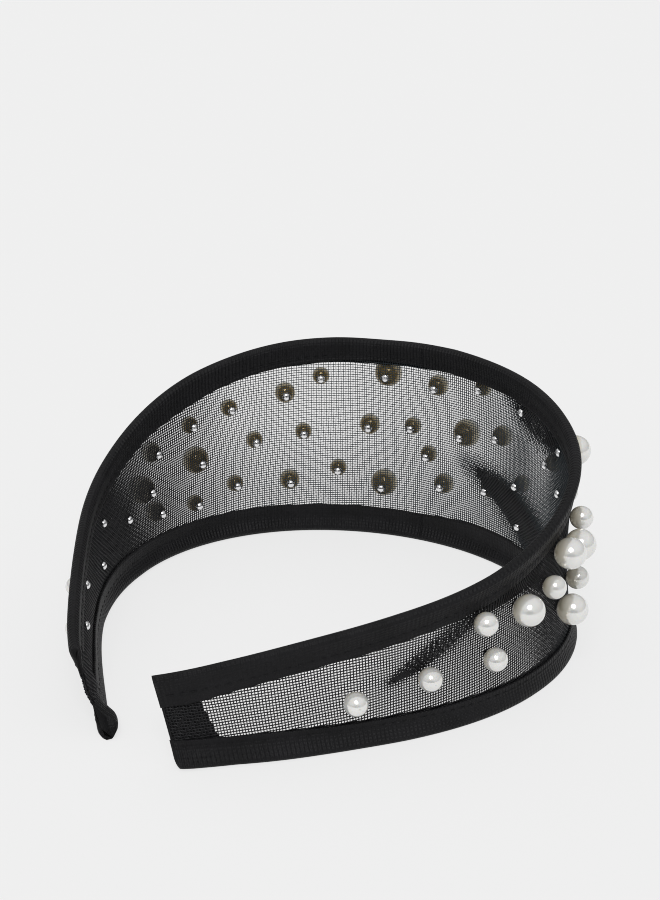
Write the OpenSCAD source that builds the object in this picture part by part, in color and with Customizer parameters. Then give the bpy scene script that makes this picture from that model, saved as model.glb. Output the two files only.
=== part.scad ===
// Wide net headband: an open hoop of black net between two bound edges, set with bead pearls.
// The hoop stands on its lower edge, with its crown towards +Y and its mouth towards -Y.

/* [Hoop] */
// Length of the band along its lower edge
arc_length = 380; // [370:1:390]
// Width of the band at the middle of the crown
crown_width = 62; // [58:1:64]
// Width of the band at each of its two ends
end_width = 23; // [21:1:26]
// How far the net draws in at mid width, where it draws in most
waist = 1.8; // [0:0.1:2]

/* [Net] */
// Thickness of the net
net_thick = 0.4; // [0.2:0.1:0.5]
// Length of net folded back at each end
hem_length = 11; // [6:1:14]

/* [Binding] */
// Thickness of one layer of the binding tape
tape_thick = 0.6; // [0.4:0.1:0.7]
// Radius of the rolled edge of the tape
roll_radius = 1.5; // [1.4:0.1:1.8]
// Height of the upper tape on the outside of the band
upper_outer_fold = 7.5; // [6:0.5:7.5]
// Height of the upper tape on the inside of the band
upper_inner_fold = 7; // [6:0.5:7.5]
// Height of the lower tape on the outside of the band
lower_outer_fold = 6.5; // [6:0.5:9]
// Height of the lower tape on the inside of the band
lower_inner_fold = 8.5; // [6:0.5:9]
// Radius of the spring wire inside each rolled edge
wire_radius = 0.7; // [0.5:0.05:0.75]
// Radius of the sewing thread
thread_radius = 0.2; // [0.1:0.05:0.25]
// Distance of the stitch line from the edge of the band
stitch_height = 5; // [4:0.5:5.5]

/* [Pearls] */
// Diameter of the large pearls
large_pearl = 8; // [7:0.5:8.5]
// Diameter of the medium pearls
medium_pearl = 6; // [5.5:0.5:6.5]
// Diameter of the small pearls
small_pearl = 5; // [4:0.5:5]
// Radius of the shank of each pin
pin_radius = 0.4; // [0.3:0.05:0.5]
// Radius of the domed head of each pin
pin_head_radius = 1.2; // [1:0.1:1.4]

/* [Flex] */
// Place along the lower edge where the left arm joins the crown
left_split = 105; // [104:0.5:106]
// Place along the lower edge where the right arm joins the crown
right_split = 252; // [250:0.5:254]
// Half of the gap left between neighbouring sections
split_gap = 0.15; // [0.1:0.05:0.2]

/* [Hidden] */

// Turn of the lower edge, in degrees per 10 mm, at equal steps from the left tip to the right tip.
bend = [2, -2, -8, -11.5, -9.5, -7.5, -8.5, -9.5, -12.5, -10, -5.5, -1, -4];
// Outward lean of the upper edge, in mm, at equal steps from the left tip to the right tip.
lean = [7, 2.5, 2, 1, -3.5, -4, 1.5, -1, -4.5];
// Slide of the upper edge along the hoop, in mm, at equal steps from the left tip to the right tip.
slide = [10, 2, 0, 0, 0, 0, 0, 1, 5];
// Share of the extra crown width that is left, at equal steps from the crown to either tip.
taper = [1, 0.95, 0.77, 0.41, 0.18, 0];
// Share of the waist, and of the lower tape's height on the inside, at equal steps from the left tip.
waist_share = [0, 0.3, 0.9, 0.8, 0.7, 1, 0.9, 0.3, 0];
fold_share = [1, 1, 1, 1, 1, 1, 0.74, 0.74, 0.74];
// Place of the row's origin on the plan that starts at the middle of the crown.
plan_origin = [-4.6, -65.8];
// How far the lower roll is pressed flat where the band stands on it.
sole = 0.25;

// Pearls as [distance along the lower edge in mm, share of the width, size]: 2 large, 1 medium, 0 small.
crown_pearls = [[111.5, 0.24, 0], [111, 0.71, 0], [113, 0.48, 2], [123, 0.72, 0], [124, 0.29, 0],
                [130, 0.51, 0], [139, 0.73, 1], [140, 0.26, 1], [144, 0.52, 0], [149, 0.80, 0],
                [154, 0.32, 0], [163, 0.55, 1], [167, 0.24, 2], [168, 0.81, 2], [176, 0.57, 0],
                [181, 0.44, 0], [183.5, 0.79, 1], [185.5, 0.295, 1], [192.5, 0.58, 2], [199, 0.845, 0],
                [201.5, 0.35, 1], [206, 0.64, 1], [214.5, 0.455, 0], [215, 0.25, 0], [217.5, 0.84, 0],
                [231, 0.685, 0], [241.5, 0.63, 0], [241, 0.83, 2]];
left_pearls = [[26, 0.56, 0], [39.5, 0.66, 0], [63.5, 0.385, 0], [67.5, 0.665, 1], [83, 0.445, 1],
               [94.5, 0.48, 2], [98, 0.30, 1], [98, 0.685, 1]];
right_pearls = [[261.5, 0.72, 1], [263.5, 0.43, 1], [269, 0.68, 2], [272, 0.365, 2], [277.5, 0.76, 2],
                [282, 0.625, 1], [293, 0.66, 2], [301.5, 0.43, 1], [305, 0.73, 1], [319, 0.47, 1],
                [337, 0.42, 1]];

rings = 72;
step = arc_length / rings;
shortest_panel = 1;
end_inset = 1;
net_rows = 6;
wire_sides = 6;
thread_sides = 4;
pearl_sides = 32;
pin_sides = 16;

// Distance of the net's edge from the edge of the band, inside the roll.
net_inset = 2.6;
// Clearances: of the net in its tape, of the thread over the tape, of the hem, of a pearl,
// and of a pin in its pearl.
net_gap = 0.1;
thread_gap = 0.06;
hem_gap = 0.2;
pearl_gap = 0.1;
bore_clearance = 0.03;
// How far the tape curls round the wire, outside and inside, and where it comes to lie flat on the net.
roll_turn = 115;
bore_turn = 120;
flat_from = stitch_height - 1.4;
dome_height = 0.9;
slot_half = net_thick / 2 + net_gap;
face = slot_half + tape_thick;
stitch_offset = face + thread_radius + thread_gap;
hem_offset = net_thick / 2 + net_gap;

net_black = [0.10, 0.10, 0.11];
tape_black = [0.07, 0.07, 0.08];
thread_black = [0.14, 0.14, 0.15];
wire_steel = [0.55, 0.56, 0.58];
pearl_ivory = [0.93, 0.91, 0.84];
pin_silver = [0.85, 0.85, 0.87];

// Values at equal steps, joined by straight lines or by a smooth curve; u runs from 0 to 1.
function slot_of(v, u) = min(floor(max(u, 0) * (len(v) - 1)), len(v) - 2);
function share_of(v, u) = u * (len(v) - 1) - slot_of(v, u);
function item(v, i) = v[min(max(i, 0), len(v) - 1)];
function straight(v, u) = let (i = slot_of(v, u), f = share_of(v, u)) v[i] * (1 - f) + v[i + 1] * f;
function curve_through(a, b, c, d, f) =
    (2 * b + (c - a) * f + (2 * a - 5 * b + 4 * c - d) * f * f + (3 * b - a - 3 * c + d) * f * f * f) / 2;
function smooth(v, u) =
    let (i = slot_of(v, u))
    curve_through(item(v, i - 1), item(v, i), item(v, i + 1), item(v, i + 2), share_of(v, u));
function unit(v) = v / norm(v);

// The lower edge in plan: its heading and its place at every ring, measured from the middle of the crown.
turn = [for (i = 0, a = 0; i <= rings; a = a + straight(bend, (i + 0.5) / rings) * step / 10, i = i + 1) a];
heading = [for (a = turn) a - turn[rings / 2]];
trail = [for (i = 0, p = [0, 0]; i <= rings;
              p = i < rings ? p + step * along((heading[i] + heading[i + 1]) / 2) : p, i = i + 1) p];
plan = [for (p = trail) p - trail[rings / 2] - plan_origin];
function along(a) = [cos(a), sin(a)];

// The band at distance s along its lower edge:
// [lower point, tangent, direction across, outward normal, width, how far the net draws in].
function band_width(s) = end_width + (crown_width - end_width) * smooth(taper, abs(2 * s / arc_length - 1));
function place(s) =
    let (u = s / arc_length,
         p = straight(plan, u),
         a = straight(heading, u),
         tangent = [cos(a), sin(a), 0],
         outward = [-sin(a), cos(a), 0],
         w = band_width(s),
         out = smooth(lean, u),
         shift = smooth(slide, u),
         rise = sqrt(w * w - out * out - shift * shift),
         across = (outward * out + tangent * shift + [0, 0, rise]) / w)
    [[p.x, p.y, -sole], tangent, across, unit(cross(across, tangent)), w, waist * smooth(waist_share, u)];

// A point of the band: q is [distance from the lower edge, distance outwards from the net's middle].
function draw_in(f, a) = f[5] * 4 * (a / f[4]) * (1 - a / f[4]);
function band_point(f, q) = f[0] + f[2] * q[0] + f[3] * (q[1] - draw_in(f, q[0]));
function from_top(f, q) = band_point(f, [f[4] - q[0], q[1]]);

// Ring stations of a section that runs from s0 to s1 along the lower edge.
function inside(s, s0, s1) = s > s0 + shortest_panel && s < s1 - shortest_panel;
function stations(s0, s1) =
    concat([s0], [for (i = [1:rings - 1]) if (inside(i * step, s0, s1)) i * step], [s1]);

// A closed tube through rings of points that all have the same number of corners.
module sweep(loops) {
    n = len(loops[0]);
    last = (len(loops) - 1) * n;
    sides = [for (i = [0:len(loops) - 2], j = [0:n - 1])
             let (a = i * n + j, b = i * n + (j + 1) % n)
             each [[a, b, a + n], [b, b + n, a + n]]];
    ends = [[for (j = [n - 1:-1:0]) j], [for (j = [0:n - 1]) last + j]];
    polyhedron([for (loop = loops) each loop], concat(sides, ends), convexity = 8);
}

// Height of the lower tape on the inside of the band, which is less along the right arm.
function lower_inside(s) = lower_inner_fold * straight(fold_share, s / arc_length);

// Outline of a flat sheet between two distances from the lower edge, in net_rows panels.
function sheet_outline(a0, a1, b0, b1) =
    concat([for (i = [0:net_rows]) [a0 + (a1 - a0) * i / net_rows, b1]],
           [for (i = [net_rows:-1:0]) [a0 + (a1 - a0) * i / net_rows, b0]]);

// Outline of the folded tape: a hollow roll at the edge, and a layer on each face of the net.
function arc_points(r, from, to, count) =
    [for (i = [0:count]) let (a = from + (to - from) * i / count) [roll_radius - r * cos(a), r * sin(a)]];
function tape_outline(inner_fold, outer_fold) =
    concat([[inner_fold, -face], [flat_from, -face]],
           arc_points(roll_radius, -roll_turn, roll_turn, 7),
           [[flat_from, face], [outer_fold, face], [outer_fold, slot_half], [flat_from, slot_half]],
           arc_points(roll_radius - tape_thick, bore_turn, -bore_turn, 6),
           [[flat_from, -slot_half], [inner_fold, -slot_half]]);
function round_outline(a, b, r, sides) =
    [for (i = [0:sides - 1]) let (t = -360 * i / sides) [a + r * cos(t), b + r * sin(t)]];

module net(s0, s1) {
    color(net_black)
    sweep([for (s = stations(s0, s1)) let (f = place(s))
           [for (q = sheet_outline(net_inset, f[4] - net_inset, -net_thick / 2, net_thick / 2))
            band_point(f, q)]]);
}

function flattened(p) = [p.x, p.y, max(p.z, 0)];

module lower_binding(s0, s1) {
    color(tape_black)
    sweep([for (s = stations(s0, s1)) let (f = place(s))
           [for (q = tape_outline(lower_inside(s), lower_outer_fold)) flattened(band_point(f, q))]]);
}

module upper_binding(s0, s1) {
    outline = tape_outline(upper_inner_fold, upper_outer_fold);
    color(tape_black)
    sweep([for (s = stations(s0, s1)) let (f = place(s))
           [for (i = [len(outline) - 1:-1:0]) from_top(f, outline[i])]]);
}

module lower_wire(s0, s1) {
    color(wire_steel)
    sweep([for (s = stations(s0 + end_inset, s1 - end_inset)) let (f = place(s))
           [for (q = round_outline(roll_radius, 0, wire_radius, wire_sides)) band_point(f, q)]]);
}

module upper_wire(s0, s1) {
    color(wire_steel)
    sweep([for (s = stations(s0 + end_inset, s1 - end_inset)) let (f = place(s))
           [for (q = round_outline(f[4] - roll_radius, 0, wire_radius, wire_sides)) band_point(f, q)]]);
}

module stitch_line(s0, s1, top) {
    color(thread_black)
    for (side = [-1, 1])
        sweep([for (s = stations(s0 + end_inset, s1 - end_inset))
               let (f = place(s), a = top ? f[4] - stitch_height : stitch_height)
               [for (q = round_outline(a, side * stitch_offset, thread_radius, thread_sides))
                band_point(f, q)]]);
}

module hem(s0, s1) {
    color(net_black)
    sweep([for (s = stations(s0, s1)) let (f = place(s))
           [for (q = sheet_outline(lower_inside(s) + hem_gap, f[4] - upper_inner_fold - hem_gap,
                                   -hem_offset - net_thick, -hem_offset)) band_point(f, q)]]);
}

// Sets its children at a pearl's place, with +Z pointing outwards from the middle of the net.
module on_net(pearl) {
    f = place(pearl[0]);
    z = f[3];
    x = f[1];
    y = cross(z, x);
    p = band_point(f, [pearl[1] * f[4], 0]);
    multmatrix([[x.x, y.x, z.x, p.x], [x.y, y.y, z.y, p.y], [x.z, y.z, z.z, p.z], [0, 0, 0, 1]])
        children();
}

function pearl_radius(pearl) = [small_pearl, medium_pearl, large_pearl][pearl[2]] / 2;

module pearls(list, size) {
    color(pearl_ivory)
    for (pearl = list)
        if (pearl[2] == size)
            on_net(pearl)
                difference() {
                    translate([0, 0, net_thick / 2 + pearl_gap + pearl_radius(pearl)])
                        sphere(r = pearl_radius(pearl), $fn = pearl_sides);
                    cylinder(r = pin_radius + bore_clearance, h = pearl_radius(pearl) + pearl_gap + net_thick,
                             $fn = pin_sides);
                }
}

// A pin: a domed head on the inside of the net and a shank that runs into its pearl.
module pins(list) {
    color(pin_silver)
    for (pearl = list)
        on_net(pearl)
            rotate_extrude($fn = pin_sides)
                polygon(concat([for (a = [90:-15:0])
                                [pin_head_radius * cos(a), -net_thick / 2 - dome_height * sin(a)]],
                               [[pin_radius, -net_thick / 2],
                                [pin_radius, pearl_radius(pearl)],
                                [0, pearl_radius(pearl)]]));
}

crown = [left_split + split_gap, right_split - split_gap];
left = [0, left_split - split_gap];
right = [right_split + split_gap, arc_length];

net(crown[0], crown[1]);  // crown_net
net(left[0], left[1]);  // left_net
net(right[0], right[1]);  // right_net
upper_binding(crown[0], crown[1]);  // crown_upper_binding
upper_binding(left[0], left[1]);  // left_upper_binding
upper_binding(right[0], right[1]);  // right_upper_binding
lower_binding(crown[0], crown[1]);  // crown_lower_binding
lower_binding(left[0], left[1]);  // left_lower_binding
lower_binding(right[0], right[1]);  // right_lower_binding
upper_wire(crown[0], crown[1]);  // crown_upper_wire
upper_wire(left[0], left[1]);  // left_upper_wire
upper_wire(right[0], right[1]);  // right_upper_wire
lower_wire(crown[0], crown[1]);  // crown_lower_wire
lower_wire(left[0], left[1]);  // left_lower_wire
lower_wire(right[0], right[1]);  // right_lower_wire
stitch_line(crown[0], crown[1], true);  // crown_upper_stitching
stitch_line(left[0], left[1], true);  // left_upper_stitching
stitch_line(right[0], right[1], true);  // right_upper_stitching
stitch_line(crown[0], crown[1], false);  // crown_lower_stitching
stitch_line(left[0], left[1], false);  // left_lower_stitching
stitch_line(right[0], right[1], false);  // right_lower_stitching
hem(left[0], left[0] + hem_length);  // left_hem
hem(right[1] - hem_length, right[1]);  // right_hem
pearls(crown_pearls, 2);  // crown_large_pearls
pearls(left_pearls, 2);  // left_large_pearls
pearls(right_pearls, 2);  // right_large_pearls
pearls(crown_pearls, 1);  // crown_medium_pearls
pearls(left_pearls, 1);  // left_medium_pearls
pearls(right_pearls, 1);  // right_medium_pearls
pearls(crown_pearls, 0);  // crown_small_pearls
pearls(left_pearls, 0);  // left_small_pearls
pins(crown_pearls);  // crown_pins
pins(left_pearls);  // left_pins
pins(right_pearls);  // right_pins
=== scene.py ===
"""Looks for the wide net headband: woven net, ribbed binding, stitching, pearls and pins.

Short names stand for lengths in mm: s runs along the lower edge from the left tip, a across the band from its
lower edge, e inwards from the edge that a tape is folded over, and b outwards from the middle of the net.
"""

import math

import bpy
import numpy as np
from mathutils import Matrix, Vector


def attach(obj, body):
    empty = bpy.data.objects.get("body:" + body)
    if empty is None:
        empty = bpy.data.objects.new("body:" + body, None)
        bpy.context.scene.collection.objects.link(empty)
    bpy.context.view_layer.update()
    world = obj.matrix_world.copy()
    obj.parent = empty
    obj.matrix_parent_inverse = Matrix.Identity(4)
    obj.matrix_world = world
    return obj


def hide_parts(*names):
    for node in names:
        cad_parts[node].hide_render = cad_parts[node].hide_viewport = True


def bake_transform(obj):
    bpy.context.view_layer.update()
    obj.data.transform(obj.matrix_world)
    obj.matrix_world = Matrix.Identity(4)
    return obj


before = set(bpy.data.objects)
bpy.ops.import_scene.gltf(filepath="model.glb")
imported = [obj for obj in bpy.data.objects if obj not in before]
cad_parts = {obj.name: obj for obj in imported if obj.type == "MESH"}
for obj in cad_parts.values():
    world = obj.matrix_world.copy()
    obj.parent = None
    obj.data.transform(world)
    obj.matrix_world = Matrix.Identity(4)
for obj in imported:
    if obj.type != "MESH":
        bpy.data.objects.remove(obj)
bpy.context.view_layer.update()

# ------------------------------------------------------------ the band's shape, in mm, as in the CAD source
ARC = 380.0
CROWN_WIDTH = 62.0
END_WIDTH = 23.0
WAIST = 1.8 * np.array([0, 0.3, 0.9, 0.8, 0.7, 1, 0.9, 0.3, 0])
FOLD_SHARE = [1, 1, 1, 1, 1, 1, 0.74, 0.74, 0.74]
SOLE = 0.25  # how far the lower roll is pressed flat
BEND = [2, -2, -8, -11.5, -9.5, -7.5, -8.5, -9.5, -12.5, -10, -5.5, -1, -4]
LEAN = [7, 2.5, 2, 1, -3.5, -4, 1.5, -1, -4.5]
SLIDE = [10, 2, 0, 0, 0, 0, 0, 1, 5]
TAPER = [1, 0.95, 0.77, 0.41, 0.18, 0]
PLAN_ORIGIN = np.array([-4.6, -65.8])
RINGS = 72
STEP = ARC / RINGS
LEFT_SPLIT = 105.0
RIGHT_SPLIT = 252.0
UPPER_OUTER, UPPER_INNER = 7.5, 7.0
LOWER_OUTER, LOWER_INNER = 6.5, 8.5
ROLL = 1.5
STITCH = 5.0

# ------------------------------------------------------------ the cloth's own details, in mm
MIDDLE = 180.0  # where the cloth pieces are parted, at the back of the crown
NET_CUT = 280.0  # where the net of the right arm is parted once more
PITCH = 0.713  # of the net's threads
WAVE = 0.13  # how far a thread passes over or under its neighbours
THREAD_DEPTH = 0.09  # half a thread's thickness
STITCH_LENGTH, STITCH_GAP = 2.25, 0.35
NET_LOW, NET_HIGH = 4.4, 4.8  # how far inside the band's lower and upper edge the net's outer threads lie
NET_START = 0.3  # from a tip to the net
HEM_START, HEM_REACH = 0.2, 11.7  # from a tip to the hem's two ends
HEM_LOW, HEM_LESS = 5.2, 10.8  # the hem's lower edge, and how much narrower than the band it is
PULLED_AT, PULLED_WIDTH, PULLED_BY = 231, 8, 1.6  # where the net is pulled straight, how widely and how far
RIB_STEP, LINE_STEP = 0.8, 0.6  # between the threads across a pucker, and between those along it
PLEAT_BASE, PLEAT_LIFT = 0.16, 0.45  # how far a pucker stands off where it starts, and how much more at most
HEM_LAYERS = [(-0.42, (0.31, 0.22)), (-0.80, (0.12, 0.40))]  # how deep each layer lies, and its shift
HEM_THICK = 1.35  # how much wider the hem's threads are than the net's
SEWN = 0.86  # half the tape's thickness at the stitch line
RIB_PITCH, WEAVE_PITCH = 1.04, 0.80  # of the tape's surface


def straight(values, u):
    """Values at equal steps, joined by straight lines; u runs from 0 to 1."""
    return np.interp(u * (len(values) - 1), np.arange(len(values)), values)


def smooth(values, u):
    """Values at equal steps, joined by a smooth curve; u runs from 0 to 1."""
    v, n = np.array(values, float), len(values) - 1
    i = np.clip(np.floor(np.maximum(u, 0) * n).astype(int), 0, n - 1)
    f = u * n - i
    a, b, c, d = (v[np.clip(i + k, 0, n)] for k in (-1, 0, 1, 2))
    return (2 * b + (c - a) * f + (2 * a - 5 * b + 4 * c - d) * f**2 + (3 * b - a - 3 * c + d) * f**3) / 2


def hill(x, middle, width):
    """1 at the middle, falling smoothly to 0 on both sides."""
    return np.exp(-(((x - middle) / width) ** 2))


def climb(x, start, over):
    """0 before start, then straight up to 1 over the given distance."""
    return np.clip((x - start) / over, 0, 1)


def ring_table():
    """The lower edge's heading and place at every ring of the CAD source."""
    turns = [straight(BEND, (i + 0.5) / RINGS) * STEP / 10 for i in range(RINGS)]
    turn = np.concatenate([[0], np.cumsum(turns)])
    heading = np.radians(turn - turn[RINGS // 2])
    between = (heading[1:] + heading[:-1]) / 2
    trail = np.vstack([[0, 0], np.cumsum(STEP * np.stack([np.cos(between), np.sin(between)], 1), axis=0)])
    return heading, trail - trail[RINGS // 2] - PLAN_ORIGIN


RING_HEADING, RING_PLAN = ring_table()


def plan_at(s):
    """The lower edge in plan, through the CAD's own ring points, and its heading."""
    u = np.asarray(s, float) / STEP
    i = np.clip(np.floor(u).astype(int), 0, RINGS - 1)
    f = (u - i)[..., None]
    p, q = RING_PLAN[i], RING_PLAN[i + 1]
    a, b = RING_HEADING[i], RING_HEADING[i + 1]
    ta, tb = (STEP * np.stack([np.cos(x), np.sin(x)], -1) for x in (a, b))
    xy = (
        p * (2 * f**3 - 3 * f**2 + 1)
        + ta * (f**3 - 2 * f**2 + f)
        + q * (3 * f**2 - 2 * f**3)
        + tb * (f**3 - f**2)
    )
    return xy, a + (b - a) * f[..., 0]


def width_at(s):
    """Width of the band at distances s."""
    return END_WIDTH + (CROWN_WIDTH - END_WIDTH) * smooth(TAPER, np.abs(2 * np.asarray(s, float) / ARC - 1))


def place(s):
    """Lower point, tangent, direction across, outward normal and width at distances s."""
    s = np.asarray(s, float)
    inside = np.clip(s, 0, ARC)
    u = inside / ARC
    xy, heading = plan_at(inside)
    zero = np.zeros_like(u)
    tangent = np.stack([np.cos(heading), np.sin(heading), zero], -1)
    outward = np.stack([-np.sin(heading), np.cos(heading), zero], -1)
    w, out, shift = width_at(inside), smooth(LEAN, u), smooth(SLIDE, u)
    rise = np.sqrt(w * w - out * out - shift * shift)
    up = np.stack([zero, zero, rise], -1)
    across = (outward * out[..., None] + tangent * shift[..., None] + up) / w[..., None]
    normal = np.cross(across, tangent)
    normal /= np.linalg.norm(normal, axis=-1, keepdims=True)
    low = np.concatenate([xy, np.full(u.shape + (1,), -SOLE)], -1) + tangent * (s - inside)[..., None]
    return low, tangent, across, normal, w


def surface(s, a, b):
    """Points in mm, at distance a from the lower edge and b outwards from the net's middle."""
    low, _, across, normal, w = place(s)
    draw = smooth(WAIST, np.clip(s, 0, ARC) / ARC) * 4 * (a / w) * (1 - a / w)
    tip = 1 - climb(np.asarray(s, float), 0, 14)
    draw = draw + tip**2 * np.interp(a / w, [0, 0.3, 0.5, 1], [0.0, -0.2, -0.9, 0.75])
    return low + across * np.asarray(a)[..., None] + normal * (b - draw)[..., None]


# ---------------------------------------------------------------- meshes
def make_object(name, points_mm, faces, material, uv=None):
    mesh = bpy.data.meshes.new(name)
    mesh.from_pydata((np.asarray(points_mm) * 0.001).tolist(), [], [tuple(f) for f in faces])
    mesh.update()
    mesh.polygons.foreach_set("use_smooth", np.ones(len(mesh.polygons), bool))
    if uv is not None:
        layer = mesh.uv_layers.new(name="along_across")
        index = np.zeros(len(mesh.loops), np.int32)
        mesh.loops.foreach_get("vertex_index", index)
        layer.data.foreach_set("uv", np.asarray(uv, np.float32)[index].ravel())
    obj = bpy.data.objects.new(name, mesh)
    bpy.context.scene.collection.objects.link(obj)
    mesh.materials.append(material)
    return obj


def tubes(paths, sides, normals, halves):
    """Closed square tubes round many lines at once. Each line has its own side and normal directions, and its
    half width at every point."""
    points, faces, start = [], [], 0
    corners = 4
    angle = 2 * np.pi * (np.arange(corners) + 0.5) / corners
    x, y = np.cos(angle) * math.sqrt(2), np.sin(angle) * math.sqrt(2)
    for line, side, normal, half in zip(paths, sides, normals, halves):
        n = len(line)
        ring = line[:, None] + half[:, None, None] * x[None, :, None] * side[:, None]
        ring = ring + THREAD_DEPTH * y[None, :, None] * normal[:, None]
        points.append(ring.reshape(-1, 3))
        k = np.arange(n - 1)[:, None] * corners + start
        j = np.arange(corners)[None, :]
        a, b = k + j, k + (j + 1) % corners
        faces.append(np.stack([a, b, b + corners, a + corners], -1).reshape(-1, 4))
        first = start + np.arange(corners)[::-1]
        last = start + (n - 1) * corners + np.arange(corners)
        faces.append(np.stack([first, last]))
        start += n * corners
    return np.concatenate(points), np.concatenate(faces)


# ---------------------------------------------------------------- materials
def new_material(name):
    material = bpy.data.materials.new(name)
    material.use_nodes = True
    nodes = material.node_tree.nodes
    return material, nodes, material.node_tree.links, nodes["Principled BSDF"]


def noise(nodes, links, scale, detail):
    texture = nodes.new("ShaderNodeTexNoise")
    texture.inputs["Scale"].default_value = scale
    texture.inputs["Detail"].default_value = detail
    links.new(nodes.new("ShaderNodeTexCoord").outputs["Object"], texture.inputs["Vector"])
    return texture


def ramp(nodes, links, source, low, high, at=(0.35, 0.65)):
    colours = nodes.new("ShaderNodeValToRGB")
    colours.color_ramp.elements[0].position, colours.color_ramp.elements[1].position = at
    colours.color_ramp.elements[0].color = (*low, 1)
    colours.color_ramp.elements[1].color = (*high, 1)
    links.new(source, colours.inputs["Fac"])
    return colours


def bump(nodes, links, shader, height, strength, distance):
    node = nodes.new("ShaderNodeBump")
    node.inputs["Strength"].default_value = strength
    node.inputs["Distance"].default_value = distance
    links.new(height, node.inputs["Height"])
    links.new(node.outputs["Normal"], shader.inputs["Normal"])


def vector_math(nodes, links, operation, source, value=None):
    node = nodes.new("ShaderNodeVectorMath")
    node.operation = operation
    links.new(source, node.inputs[0])
    if value is not None:
        node.inputs[1].default_value = value
    return node


def net_material(name, painted_light_over_crown):
    """Black thread, painted paler towards the back over the crown: painted light, where the light comes
    through the net.
    """
    material, nodes, links, shader = new_material(name)
    grain = noise(nodes, links, 900, 2)
    tone = ramp(nodes, links, grain.outputs["Fac"], (0.005, 0.005, 0.006), (0.012, 0.012, 0.0135))
    # Painted light: further back, over the crown, the thread's colour is mixed towards the second, paler
    # colour given.
    coord = nodes.new("ShaderNodeTexCoord")
    split = nodes.new("ShaderNodeSeparateXYZ")
    links.new(coord.outputs["Object"], split.inputs["Vector"])
    back = nodes.new("ShaderNodeMapRange")
    back.interpolation_type = "SMOOTHSTEP"
    back.inputs["From Min"].default_value = 0.010
    back.inputs["From Max"].default_value = 0.055
    links.new(split.outputs["Y"], back.inputs["Value"])
    pale = nodes.new("ShaderNodeMix")
    pale.data_type = "RGBA"
    links.new(back.outputs["Result"], pale.inputs["Factor"])
    links.new(tone.outputs["Color"], pale.inputs["A"])
    pale.inputs["B"].default_value = (*painted_light_over_crown, 1)
    links.new(pale.outputs["Result"], shader.inputs["Base Color"])
    shader.inputs["Roughness"].default_value = 0.5
    shader.inputs["Specular IOR Level"].default_value = 0.25
    return material


def wave_scale(pitch):
    """The wave texture's scale for bands of this pitch in mm, on coordinates in m."""
    return math.tau * 1000 / pitch / 20


def tape_material():
    """Black ribbed tape: ribs across the tape, a finer weave between them, and slow changes of tone."""
    material, nodes, links, shader = new_material("binding_tape")
    uv = nodes.new("ShaderNodeUVMap")
    uv.uv_map = "along_across"
    rib = nodes.new("ShaderNodeTexWave")
    rib.wave_type, rib.bands_direction, rib.wave_profile = "BANDS", "X", "SIN"
    rib.inputs["Scale"].default_value = wave_scale(RIB_PITCH)
    rib.inputs["Distortion"].default_value = 0.0
    links.new(uv.outputs["UV"], rib.inputs["Vector"])
    weave = nodes.new("ShaderNodeTexWave")
    weave.wave_type, weave.bands_direction, weave.wave_profile = "BANDS", "Y", "SIN"
    weave.inputs["Scale"].default_value = wave_scale(WEAVE_PITCH)
    links.new(uv.outputs["UV"], weave.inputs["Vector"])
    both = nodes.new("ShaderNodeMath")
    both.operation = "MULTIPLY_ADD"
    links.new(weave.outputs["Fac"], both.inputs[0])
    both.inputs[1].default_value = 0.4
    links.new(rib.outputs["Fac"], both.inputs[2])
    slow = noise(nodes, links, 120, 4)
    dark, pale = (0.0025, 0.0025, 0.003), (0.0065, 0.0063, 0.0075)
    tone = ramp(nodes, links, slow.outputs["Fac"], dark, pale, (0.3, 0.7))
    links.new(tone.outputs["Color"], shader.inputs["Base Color"])
    shader.inputs["Roughness"].default_value = 0.55
    shader.inputs["Specular IOR Level"].default_value = 0.2
    shader.inputs["Sheen Weight"].default_value = 0.008
    shader.inputs["Sheen Roughness"].default_value = 0.4
    fuzz = noise(nodes, links, 2600, 2)
    total = nodes.new("ShaderNodeMath")
    total.operation = "MULTIPLY_ADD"
    links.new(fuzz.outputs["Fac"], total.inputs[0])
    total.inputs[1].default_value = 1.1
    links.new(both.outputs["Value"], total.inputs[2])
    bump(nodes, links, shader, total.outputs["Value"], 1.0, 0.00016)
    return material


def thread_material():
    material, nodes, links, shader = new_material("sewing_thread")
    grain = noise(nodes, links, 2500, 2)
    tone = ramp(nodes, links, grain.outputs["Fac"], (0.004, 0.004, 0.0045), (0.010, 0.010, 0.011))
    links.new(tone.outputs["Color"], shader.inputs["Base Color"])
    shader.inputs["Roughness"].default_value = 0.6
    shader.inputs["Specular IOR Level"].default_value = 0.15
    bump(nodes, links, shader, grain.outputs["Fac"], 0.4, 0.00005)
    return material


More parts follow.
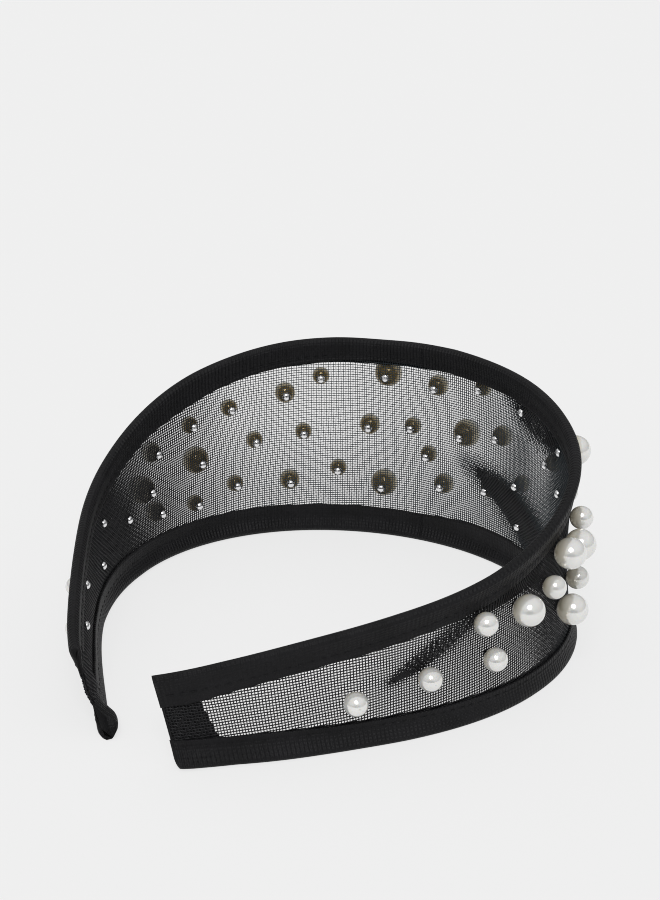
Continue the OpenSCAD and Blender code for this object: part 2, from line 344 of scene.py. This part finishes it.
def pearl_material(name, deep, half_shade, at):
    """Pearl with painted shade on the half that faces in towards the band: the darkest painted shade there
    (deep), a half shade further round, then white on the outer half.
    """
    material, nodes, links, shader = new_material(name)
    grain = noise(nodes, links, 260, 3)
    tone = ramp(nodes, links, grain.outputs["Fac"], (0.77, 0.767, 0.745), (0.83, 0.828, 0.81), (0.3, 0.7))
    # Painted shade: the side of the pearl whose normal points towards the band's middle is coloured darker,
    # through a half shade to white on the outer half.
    coord = nodes.new("ShaderNodeTexCoord")
    flat = vector_math(nodes, links, "MULTIPLY", coord.outputs["Object"], (1, 1, 0))
    outward = vector_math(nodes, links, "NORMALIZE", flat.outputs["Vector"])
    facing = vector_math(nodes, links, "DOT_PRODUCT", outward.outputs["Vector"])
    links.new(coord.outputs["Normal"], facing.inputs[1])
    spread = nodes.new("ShaderNodeMapRange")
    spread.inputs["From Min"].default_value = -1.0
    links.new(facing.outputs["Value"], spread.inputs["Value"])
    shade_ramp = ramp(nodes, links, spread.outputs["Result"], deep, (1, 1, 1), (at[0], at[2]))
    middle = shade_ramp.color_ramp.elements.new(at[1])
    middle.color = (*half_shade, 1)
    shaded_tone = nodes.new("ShaderNodeMix")
    shaded_tone.data_type, shaded_tone.blend_type = "RGBA", "MULTIPLY"
    shaded_tone.inputs["Factor"].default_value = 1.0
    links.new(tone.outputs["Color"], shaded_tone.inputs["A"])
    links.new(shade_ramp.outputs["Color"], shaded_tone.inputs["B"])
    links.new(shaded_tone.outputs["Result"], shader.inputs["Base Color"])
    shader.inputs["Metallic"].default_value = 0.36
    shader.inputs["Roughness"].default_value = 0.13
    shader.inputs["Subsurface Weight"].default_value = 0.15
    shader.inputs["Subsurface Radius"].default_value = (0.004, 0.003, 0.002)
    shader.inputs["Subsurface Scale"].default_value = 0.3
    shader.inputs["Coat Weight"].default_value = 0.6
    shader.inputs["Coat Roughness"].default_value = 0.08
    fine = noise(nodes, links, 1400, 2)
    bump(nodes, links, shader, fine.outputs["Fac"], 0.14, 0.0001)
    return material


def metal_material(name, colour, rough):
    material, nodes, links, shader = new_material(name)
    grain = noise(nodes, links, 700, 3)
    low = tuple(x * 0.9 for x in colour)
    tone = ramp(nodes, links, grain.outputs["Fac"], low, colour)
    links.new(tone.outputs["Color"], shader.inputs["Base Color"])
    shader.inputs["Metallic"].default_value = 1.0
    spread = nodes.new("ShaderNodeMapRange")
    links.new(grain.outputs["Fac"], spread.inputs["Value"])
    spread.inputs["To Min"].default_value = rough * 0.8
    spread.inputs["To Max"].default_value = rough * 1.3
    links.new(spread.outputs["Result"], shader.inputs["Roughness"])
    return material


# The second colour of each is painted light over the crown: paler for the flat net, close to the thread's own
# black for its folds.
NET = net_material("net_thread", (0.028, 0.036, 0.042))
FOLDED_NET = net_material("folded_net_thread", (0.011, 0.0115, 0.013))
TAPE = tape_material()
THREAD = thread_material()
# Painted shade colours for the pearls' inner halves, the darker first: olive for the crown's pearls, sand for
# the arms'; then the lighter half shades.
CROWN_PEARL_SHADE, CROWN_PEARL_HALF_SHADE = (0.38, 0.265, 0.085), (0.80, 0.74, 0.58)
ARM_PEARL_SHADE, ARM_PEARL_HALF_SHADE = (0.50, 0.45, 0.34), (0.90, 0.86, 0.76)
CROWN_PEARL = pearl_material("crown_pearl", CROWN_PEARL_SHADE, CROWN_PEARL_HALF_SHADE, (0.22, 0.48, 0.62))
ARM_PEARL = pearl_material("arm_pearl", ARM_PEARL_SHADE, ARM_PEARL_HALF_SHADE, (0.16, 0.38, 0.58))
PIN = metal_material("pin_silver", (0.86, 0.86, 0.87), 0.13)
WIRE = metal_material("spring_wire", (0.50, 0.50, 0.52), 0.35)


# ---------------------------------------------------------------- net
def wander(s, a):
    """Small in-plane drift of the threads, in mm."""
    return (
        0.16 * np.sin(s / 7.1 + a / 9.0 + 0.6) + 0.09 * np.sin(s / 3.3 - a / 4.7 + 2.0),
        0.14 * np.sin(s / 8.3 - a / 11.0 + 1.1) + 0.08 * np.sin(s / 2.9 + a / 5.3),
    )


def net_point(s, a, lift):
    """A point of the net. Behind the right end of the crown the net is pulled straight, so its columns spread
    there and crowd on either side."""
    ds, da = wander(s, a)
    pull = np.interp(a, [10, 25, 44, 53], [0, 1, 1, 0])
    away = (s - PULLED_AT) / PULLED_WIDTH
    spread = PULLED_BY * away * np.exp(0.5 - away**2 / 2)
    return surface(s + ds * fade(s) + spread * pull, a + da, lift)


def fade(s):
    """0 at the two tips and 1 further in, so that the drift never moves the ends."""
    return climb(np.minimum(s, ARC - s), 0, 8)


def near_pucker(s, a):
    """1 on a pucker of the net, falling to 0 away from it."""
    total = np.zeros(np.broadcast(s, a).shape)
    for left, right, _ in PUCKERS:
        middle = (pad(left) + pad(right)) / 2
        reach = np.linalg.norm(pad(left) - pad(right), axis=1) / 2
        d = np.hypot(s[..., None] - middle[:, 0], a[..., None] - middle[:, 1])
        near = hill(np.maximum(d - 0.4 * reach, 0), 0, 0.45 * reach + 0.8)
        total = np.maximum(total, near.max(-1))
    return total


def pad(line, count=25):
    """The same number of points, evenly spaced, on a line of (s, a) points."""
    line = np.array(line, float)
    run = np.concatenate([[0], np.cumsum(np.linalg.norm(np.diff(line, axis=0), axis=1))])
    at = np.linspace(0, run[-1], count)
    return np.stack([np.interp(at, run, line[:, i]) for i in (0, 1)], 1)


def thread_half(s, a):
    """Half the width of the net's thread, in mm. It is more along the arms and at the puckers, where the net
    is drawn closer; near the upper tape at the left of the back the threads are thicker as painted shade."""
    s, a = np.broadcast_arrays(np.asarray(s, float), np.asarray(a, float))
    at = [0, 65, 88, 102, 113, 124, 222, 232, 241, 247, 258, 268, 284, 300, ARC]
    wide = [140, 145, 132, 116, 96, 76, 74, 60, 60, 100, 90, 60, 80, 111, 122]
    half = np.interp(s, at, wide) / 1000
    # Painted shade: thicker threads darken the net near the upper tape at the left of the back.
    shade_under_tape = np.interp(s, [92, 104, 120], [0, 1, 0]) * climb(a / width_at(s), 0.55, 0.30)
    back = np.interp(s, [95, 120, 225, 240], [0, 1, 1, 0])
    low_back = back * (1 - climb(a, 14, 22))
    return half + 0.025 * shade_under_tape + 0.023 * low_back + 0.045 * near_pucker(s, a)


def woven(s0, s1, low, high, offset=0.0, shift=(0.0, 0.0), lead=0, thick=1.0):
    """Threads of a square weave between s0 and s1; low(s) and high(s) bound it across the band.
    With lead=1 the rows start one column early, so that they meet the piece before."""
    paths, sides, normals, halves = [], [], [], []
    columns = np.arange(math.ceil((s0 - shift[0]) / PITCH) - lead, math.floor((s1 - shift[0]) / PITCH) + 1)
    cs = columns * PITCH + shift[0]
    most = math.ceil(CROWN_WIDTH / PITCH / 2)
    rows = np.arange(-most, most + 1)
    w = width_at(cs)
    for k in rows:
        a = w / 2 + k * PITCH + shift[1]
        keep = (a > low(cs)) & (a < high(cs))
        if keep.sum() < 3:
            continue
        first, last = np.flatnonzero(keep)[[0, -1]]
        i = np.arange(first, last + 1)
        lift = offset + WAVE * (1 - 2 * ((columns[i] + k) % 2))
        _, _, across, normal, _ = place(cs[i])
        paths.append(net_point(cs[i], a[i], lift))
        sides.append(across)
        normals.append(normal)
        halves.append(thick * thread_half(cs[i], a[i]))
    for c, s in zip(columns[lead:], cs[lead:]):
        a = width_at(s) / 2 + rows * PITCH + shift[1]
        keep = (a > low(s)) & (a < high(s))
        if keep.sum() < 3:
            continue
        a, k = a[keep], rows[keep]
        at = np.full(len(a), s)
        lift = offset - WAVE * (1 - 2 * ((c + k) % 2))
        _, tangent, _, normal, _ = place(at)
        paths.append(net_point(at, a, lift))
        sides.append(-tangent)
        normals.append(normal)
        halves.append(thick * thread_half(at, a))
    return tubes(paths, sides, normals, halves)


def net_low(s):
    return np.full(np.shape(s), NET_LOW)


def net_high(s):
    return width_at(s) - NET_HIGH


def cloth_area(s0, s1, low, high):
    """Area in square metres of the cloth between s0 and s1, from low(s) to high(s)."""
    s = np.linspace(s0, s1, 400)
    return float((high(s) - low(s)).mean()) * (s1 - s0) * 1e-6


def pleat(left, right, inward):
    """Threads of a pucker where the net folds over itself, between two lines of (s, a) points: ribs that run
    across it, and the crowded threads along it."""
    sign = -1 if inward else 1
    length = np.linalg.norm(np.diff((pad(left) + pad(right)) / 2, axis=0), axis=1).sum()
    count = max(int(length / RIB_STEP), 4)
    a_side, b_side = pad(left, count), pad(right, count)
    paths, sides, normals, halves = [], [], [], []
    ends = np.sin(np.pi * np.linspace(0.04, 0.96, count)) ** 0.8

    def add(q, up, half):
        line = net_point(q[:, 0], q[:, 1], up)
        normal = place(q[:, 0])[3]
        side = np.cross(normal, np.gradient(line, axis=0))
        paths.append(line)
        sides.append(side / np.linalg.norm(side, axis=1)[:, None])
        normals.append(normal)
        halves.append(half)

    for i in range(count):
        ragged = 0.12 * math.sin(i * 2.3) + 0.08 * math.sin(i * 5.1 + 1)
        t = np.linspace(-0.30 + ragged, 1.30 + ragged, 17)
        hump = np.sin(np.pi * np.clip((t + 0.3) / 1.6, 0, 1)) * ends[i]
        line = a_side[i] + (b_side[i] - a_side[i]) * t[:, None]
        add(line, sign * (PLEAT_BASE + PLEAT_LIFT * hump), 0.04 + 0.16 * hump**1.5)
    deep = np.linspace(0, 1, count) ** 2 if inward else np.linspace(0.2, 0.5, count)
    width = np.linalg.norm(a_side - b_side, axis=1).max()
    lines = int(width / LINE_STEP) + 1
    for j in range(lines):
        t = (j + 0.5) / lines
        u = 2 * t - 1
        first = int(count * (0.10 + 0.22 * u * u + 0.04 * math.sin(j * 2.1)))
        keep = slice(first, max(count - int(count * (0.03 + 0.10 * u * u)), first + 3))
        q = (a_side + (b_side - a_side) * t)[keep]
        hump = math.sin(math.pi * t) * ends[keep]
        body = (1 - 0.8 * u * u) * (0.12 + 0.88 * deep[keep])
        add(q, sign * (PLEAT_BASE + PLEAT_LIFT * hump - 0.25), 0.01 + 0.25 * body * ends[keep])
    return tubes(paths, sides, normals, halves)


def joined(parts):
    """Several (points, faces) pairs as one."""
    starts = np.cumsum([0] + [len(points) for points, _ in parts])
    faces = [faces + start for (_, faces), start in zip(parts, starts)]
    return np.vstack([points for points, _ in parts]), np.vstack(faces)


def make_net(name, s0, s1, lead, puckers):
    """A length of net with its puckers."""
    weave = woven(s0, s1, net_low, net_high, lead=lead)
    net = make_object(name, *joined([weave] + [pleat(*pucker) for pucker in puckers]), NET)
    net.data.materials.append(FOLDED_NET)
    folded = np.arange(len(net.data.polygons)) >= len(weave[1])
    net.data.polygons.foreach_set("material_index", folded.astype(np.int32))
    area = cloth_area(s0, s1, net_low, net_high)
    return net


# Puckers as two lines of (distance along, distance across) in mm, and whether they stand on the inside.
CROWN_PUCKERS = [
    (
        [(193.5, 27), (200, 23.5), (206.5, 19.3), (211.5, 14.8), (215.5, 10), (219, 6.5)],
        [(195, 31.5), (201, 31), (207, 29.5), (216, 26.5), (226, 21.5), (235, 15.5)],
        True,
    ),
    (
        [(210, 53.5), (216.6, 49.5), (226.2, 46.5), (237, 45.5)],
        [(214, 56), (221.2, 55.5), (232, 54), (240.6, 52.5)],
        True,
    ),
]
ARM_PUCKERS = [
    (
        [(309, 31), (313.5, 27.5), (319, 23.8), (325, 19), (329, 16)],
        [(306, 26.5), (311, 23), (316, 19.8), (321.5, 16.8), (327.5, 14.6)],
        False,
    ),
    (
        [(314, 28.5), (305, 32.0), (297, 34.5), (284, 38)],
        [(312, 24), (304, 28), (296, 31), (286, 33)],
        False,
    ),
]
PUCKERS = CROWN_PUCKERS + ARM_PUCKERS

net_left = make_net("net_left", NET_START, MIDDLE, 0, [])
net_right = make_net("net_right", MIDDLE, NET_CUT, 1, CROWN_PUCKERS)
net_end = make_net("net_end", NET_CUT, ARC - NET_START, 1, ARM_PUCKERS)


def make_hem(name, s0, s1):
    """The net turned in and doubled at a tip, as two layers of weave on its inner face."""

    def low(s):
        return np.full(np.shape(s), HEM_LOW)

    def high(s):
        """The hem's inner edge slants, so that the hem is longer at its lower end."""
        from_tip = np.minimum(s, ARC - s)
        return HEM_LOW + (width_at(s) - HEM_LESS) * (1 - climb(from_tip, HEM_REACH - 3.3, 3.3))

    layers = [woven(s0, s1, low, high, depth, shift, thick=HEM_THICK) for depth, shift in HEM_LAYERS]
    turned = make_object(name, *joined(layers), NET)
    area = 2 * cloth_area(s0, s1, low, high)
    return turned


hem_left = make_hem("hem_left", HEM_START, HEM_REACH)
hem_right = make_hem("hem_right", ARC - HEM_REACH, ARC - HEM_START)


# ---------------------------------------------------------------- binding tape
def tape_profile(inner_fold, outer_fold):
    """Outline of the folded tape as (distance from the band's edge, distance outwards): its skin, and then
    the lining inside the roll."""
    faces = []
    for side, fold in ((-1, inner_fold), (1, outer_fold)):
        half = []
        for t in np.linspace(0, 1, 10):  # from the roll's crest down to the stitch line
            half.append([ROLL + t * (STITCH - ROLL), ROLL - (ROLL - SEWN) * (3 * t**2 - 2 * t**3)])
        half += [[STITCH + 0.35, 0.80], [STITCH + 0.75, 0.90]]
        half += [[fold - 0.6, 0.92], [fold - 0.18, 0.88], [fold, 0.70], [fold, 0.50], [fold - 0.15, 0.36]]
        half = np.array(half)
        half[:, 1] *= side
        faces.append(half)
    roll = [[ROLL - ROLL * math.cos(t), ROLL * math.sin(t)] for t in np.radians(np.linspace(-80, 80, 13))]
    bore = [[STITCH - 1.2, 0.34], [3.0, 0.55], [2.1, 0.92]]
    arc = [[ROLL - math.cos(t), math.sin(t)] for t in np.radians(np.linspace(100, -100, 9))]
    bore_back = [[x, -y] for x, y in bore[::-1]]
    return np.vstack([faces[0][::-1], roll, faces[1]]), np.vstack([bore, arc, bore_back])


def waver(s, e, b):
    """Small unevenness of a tape: it is drawn in at every stitch, and its free edges wander."""
    b = b + np.sign(b) * 0.05 * hill(e, STITCH, 1.1) * np.sin(s * math.tau / (STITCH_LENGTH + STITCH_GAP))
    free, side = climb(e, STITCH + 0.8, 1.5), np.sign(b)
    drift = 0.05 * np.sin(s / 1.9 + side) + 0.03 * np.sin(s / 0.83 + 2 * side)
    drift = drift + 0.07 * np.sin(s / 5.1 - side)
    return e + free * drift, b + side * free * 0.05 * np.sin(s / 3.1 + side)


def close_tips(s, e, b, skin):
    """At the band's tips the lining shuts, the tape flattens and its outer fold is pinched."""
    from_tip = np.minimum(s, ARC - s)
    shut = np.where(skin, 1, climb(from_tip, 0.35, 0.6))
    e, b = ROLL + (e - ROLL) * np.where(np.abs(e - ROLL) < 1.2, shut, 1), b * shut
    full = climb(from_tip, 0, 1.6)
    b = b * (0.62 + 0.38 * np.sqrt(1 - (1 - full) ** 2))
    pinch = (1 - climb(from_tip, 0, 5)) * climb(e, STITCH, 1) * (b > 0)
    return e, b * (1 - 0.6 * pinch)


def shape_upper(s, e, b):
    """The upper tape's own shape: its inner fold deepens and narrows along the crown, its edge rises and
    dips, and the two faces end apart at the left tip."""
    e = e + climb(e, STITCH, 2) * (b < 0) * (0.9 * hill(s, 110, 11) - 1.1 * hill(s, 168, 14))
    e = e + 0.7 * climb(s, 360, 14) * climb(e, STITCH, 2)
    e = e - 0.42 * climb(s, 300, 25) * (1 - climb(s, 364, 20))
    e = e - 0.35 * hill(s, 138, 14) + 0.4 * hill(s, 166, 10)
    return s + (1 - climb(s, 0, 5)) * (0.9 * climb(b, 0, 0.5) - 0.25), e, b


def shape_lower(s, e, b, skin):
    """The lower tape's own shape: its roll bulges outwards along the right arm and inwards at the back, its
    folds deepen in places, the right tip's corner is rounded and the left tip ends in a thick foot."""
    outer, inner = b > 0, b < 0
    along_arm = climb(s, 285, 40) + 0.9 * hill(s, 357, 16) + climb(s, 366, 10)
    b = b + 0.9 * along_arm * hill(e, 0, 2.6) * outer
    at_back = climb(s, 55, 30) * (1 - climb(s, 220, 25))
    b = b - 1.3 * at_back * hill(e, 1.2, 2.4) * inner * skin
    e = e + 1.5 * hill(s, 203, 17) * climb(e, STITCH, 3) * inner
    e = e + 0.4 * climb(s, 345, 10) * climb(e, STITCH, 2) * outer
    foot = 1 - climb(s, 2, 8)
    foot = foot * foot * (3 - 2 * foot)
    b = b - 2.7 * foot * hill(e, 3, 3.2) * inner * skin
    corner = 1 - climb(e, 0, 3)
    s = s - 0.9 * corner**2 * climb(s, ARC - 3, 3)
    reach = 1.7 * np.clip(1.2 - e / 9, 0.4, 1) - 1.5 * climb(b, 0, ROLL) * (1 - climb(e, 1.2, 4))
    return s - (1 - climb(s, 0, 4)) * reach, e, b


def make_binding(name, s0, s1, top):
    """A tape folded over one edge of the net between s0 and s1."""
    skin, lining = tape_profile(UPPER_INNER, UPPER_OUTER) if top else tape_profile(LOWER_INNER, LOWER_OUTER)
    outline = np.vstack([skin, lining])
    count, n = int(round((s1 - s0) / 0.65)) + 1, len(outline)
    s = np.repeat(np.linspace(s0, s1, count)[:, None], n, 1)
    e = np.repeat(outline[None, :, 0], count, 0)
    b = np.repeat(outline[None, :, 1], count, 0)
    on_skin = np.arange(n) < len(skin)
    if not top:
        short = LOWER_INNER * (1 - straight(FOLD_SHARE, s / ARC))
        e = e - short * climb(e, STITCH, LOWER_INNER - STITCH) * (b < 0)
    e, b = close_tips(s, *waver(s, e, b), on_skin)
    s, e, b = shape_upper(s, e, b) if top else shape_lower(s, e, b, on_skin)
    points = surface(s, width_at(s) - e if top else e, b)
    if not top:
        points[..., 2] = np.maximum(points[..., 2], 0.0)
    turn = -1 if top else 1
    faces = []
    for i in range(count - 1):
        for j in range(n):
            p, q = i * n + j, i * n + (j + 1) % n
            faces.append((p, q, q + n, p + n)[::turn])
    faces += [list(range(n))[::-turn], [(count - 1) * n + j for j in range(n)][::turn]]
    girth = np.concatenate([[0], np.cumsum(np.linalg.norm(np.diff(outline, axis=0), axis=1))])
    uv = np.stack([s * 0.001, np.repeat(girth[None] * 0.001, count, 0)], -1).reshape(-1, 2)
    obj = make_object(name, points.reshape(-1, 3), faces, TAPE, uv)
    return obj


# ---------------------------------------------------------------- stitching
def make_stitches(name, s0, s1, top):
    """Two rows of stitches, one on each face of a tape; every stitch dips into the cloth at its ends."""
    rings, corners = 7, 6
    points, faces, start = [], [], 0
    angle = math.tau * np.arange(corners) / corners
    count = int((s1 - s0 - 2) / (STITCH_LENGTH + STITCH_GAP))
    t = np.linspace(0, 1, rings)
    sink = 0.85 - 0.30 * (2 * t - 1) ** 4
    radius = 0.14 * np.sqrt(np.clip(1 - (2 * t - 1) ** 6, 0.25, 1))
    for side in (-1, 1):
        for i in range(count):
            s = s0 + 1 + i * (STITCH_LENGTH + STITCH_GAP) + t * STITCH_LENGTH
            e = np.full(rings, STITCH + 0.05 * math.sin(i * 1.7))
            line = surface(s, width_at(s) - e if top else e, side * sink)
            _, _, across, normal, _ = place(s)
            round_it = np.cos(angle)[:, None] * across[:, None] + np.sin(angle)[:, None] * normal[:, None]
            points.append((line[:, None] + radius[:, None, None] * round_it).reshape(-1, 3))
            for k in range(rings - 1):
                for j in range(corners):
                    p, q = start + k * corners + j, start + k * corners + (j + 1) % corners
                    faces.append((p, q, q + corners, p + corners))
            last = start + (rings - 1) * corners
            faces.append(tuple(range(start, start + corners))[::-1])
            faces.append(tuple(range(last, last + corners)))
            start += rings * corners
    return make_object(name, np.vstack(points), faces, THREAD)


def on_each_tape(make, prefix):
    """One piece for each half of the upper and of the lower tape, by (level, side)."""
    reach = {"left": (0, MIDDLE), "right": (MIDDLE, ARC)}
    return {
        (level, side): make(f"{prefix}_{level}_{side}", *reach[side], level == "upper")
        for level in ("upper", "lower")
        for side in reach
    }


bindings = on_each_tape(make_binding, "binding")
stitches = on_each_tape(make_stitches, "stitches")


# ---------------------------------------------------------------- CAD pieces that stay, with their finishes
for name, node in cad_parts.items():
    pearl = CROWN_PEARL if name.startswith("crown") else ARM_PEARL
    finish = pearl if name.endswith("_pearls") else PIN if name.endswith("_pins") else WIRE
    node.data.materials.clear()
    node.data.materials.append(finish)


# ---------------------------------------------------------------- bodies
def bend_at(obj, split):
    """Bakes a piece's placement into its mesh."""
    p, t, *_ = place(np.array(split))
    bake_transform(obj)


for side, split, towards_tip, net, hem in (
    ("left", LEFT_SPLIT, -1, net_left, hem_left),
    ("right", RIGHT_SPLIT, 1, net_right, hem_right),
):
    arm = f"{side}_arm"
    bend_at(net, split)
    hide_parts(f"{side}_net", "crown_net")
    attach(hem, arm)
    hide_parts(f"{side}_hem")
    for level in ("upper", "lower"):
        tape, seam = bindings[level, side], stitches[level, side]
        bend_at(tape, split)
        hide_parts(f"{side}_{level}_binding", f"crown_{level}_binding")
        bend_at(seam, split)
        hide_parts(f"{side}_{level}_stitching", f"crown_{level}_stitching")

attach(net_end, "right_arm")
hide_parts("right_net")


# ---------------------------------------------------------------- floor, light and camera
def paper_material(name, scale, dark, pale):
    """Matt paper, and a tone with a faint grain for the caller to link."""
    material, nodes, links, shader = new_material(name)
    grain = noise(nodes, links, scale, 2)
    tone = ramp(nodes, links, grain.outputs["Fac"], (dark,) * 3, (pale,) * 3)
    shader.inputs["Roughness"].default_value = 1.0
    shader.inputs["Specular IOR Level"].default_value = 0.0
    return material, links, shader, tone


def make_floor():
    bpy.ops.mesh.primitive_plane_add(size=8, location=(0, 0, -0.0002))
    floor = bpy.context.object
    floor.name = "floor"
    material, links, shader, tone = paper_material("floor_paper", 6, 0.150, 0.151)
    links.new(tone.outputs["Color"], shader.inputs["Base Color"])
    shader.inputs["Emission Color"].default_value = (1, 1, 1, 1)
    shader.inputs["Emission Strength"].default_value = 0.72
    floor.data.materials.append(material)


def make_backdrop():
    """A pale backdrop round the room, seen only by the camera, so that it never changes the light."""
    bpy.ops.mesh.primitive_uv_sphere_add(segments=48, ring_count=24, radius=3.9, location=(0, 0, 0))
    backdrop = bpy.context.object
    backdrop.name = "backdrop"
    backdrop.visible_diffuse = backdrop.visible_glossy = backdrop.visible_transmission = False
    backdrop.visible_shadow = backdrop.visible_volume_scatter = False
    material, links, shader, tone = paper_material("backdrop_paper", 2, 0.850, 0.857)
    shader.inputs["Base Color"].default_value = (0, 0, 0, 1)
    links.new(tone.outputs["Color"], shader.inputs["Emission Color"])
    shader.inputs["Emission Strength"].default_value = 1.0
    backdrop.data.materials.append(material)


def make_world():
    """Soft light from all round, brighter from above, with a dim gap towards the side from which the object
    is looked at."""
    world = bpy.data.worlds.new("studio")
    scene.world = world
    world.use_nodes = True
    nodes, links = world.node_tree.nodes, world.node_tree.links
    direction = nodes.new("ShaderNodeTexCoord").outputs["Generated"]
    split = nodes.new("ShaderNodeSeparateXYZ")
    links.new(direction, split.inputs["Vector"])
    height = nodes.new("ShaderNodeValToRGB")
    for position, level in ((0.10, 0.42), (0.30, 0.60), (0.60, 0.85)):
        stop = height.color_ramp.elements.new(position)
        stop.color = (level, level, level, 1)
    height.color_ramp.elements[0].color = (0.40, 0.40, 0.40, 1)
    height.color_ramp.elements[-1].color = (0.9, 0.9, 0.9, 1)
    links.new(split.outputs["Z"], height.inputs["Fac"])
    aside = vector_math(nodes, links, "SUBTRACT", direction, (0.54, -0.838, 0.11))
    squash = vector_math(nodes, links, "MULTIPLY", aside.outputs["Vector"], (1, 1, 1.9))
    distance = vector_math(nodes, links, "LENGTH", squash.outputs["Vector"])
    gap = ramp(nodes, links, distance.outputs["Value"], (0.02,) * 3, (1, 1, 1), (0.34, 0.70))
    room = nodes.new("ShaderNodeMix")
    room.data_type, room.blend_type = "RGBA", "MULTIPLY"
    room.inputs["Factor"].default_value = 1.0
    links.new(height.outputs["Color"], room.inputs["A"])
    links.new(gap.outputs["Color"], room.inputs["B"])
    links.new(room.outputs["Result"], nodes["Background"].inputs["Color"])
    nodes["Background"].inputs["Strength"].default_value = 0.75


def soft_sun(name, strength, angle, azimuth, elevation):
    """A broad distant lamp; azimuth 0 shines from -Y, 90 from +X."""
    lamp = bpy.data.lights.new(name, "SUN")
    lamp.energy, lamp.angle = strength, math.radians(angle)
    obj = bpy.data.objects.new(name, lamp)
    scene.collection.objects.link(obj)
    a, e = math.radians(azimuth), math.radians(elevation)
    back = Vector((math.sin(a) * math.cos(e), -math.cos(a) * math.cos(e), math.sin(e)))
    obj.rotation_euler = back.to_track_quat("Z", "Y").to_euler()


def make_camera():
    camera_data = bpy.data.cameras.new("camera")
    camera = bpy.data.objects.new("camera", camera_data)
    scene.collection.objects.link(camera)
    camera.location = (0.23844, -0.36266, 0.24641)
    camera.rotation_euler = (math.radians(90 - 23.96), 0, math.radians(32.88))
    camera_data.sensor_width = 36
    camera_data.lens = 74.91
    camera_data.clip_start = 0.01
    scene.camera = camera


scene = bpy.context.scene
make_floor()
make_backdrop()
make_world()
soft_sun("key", 1.5, 30, 32, 50)
make_camera()
scene.view_settings.view_transform = "Standard"
scene.cycles.filter_width = 1.0
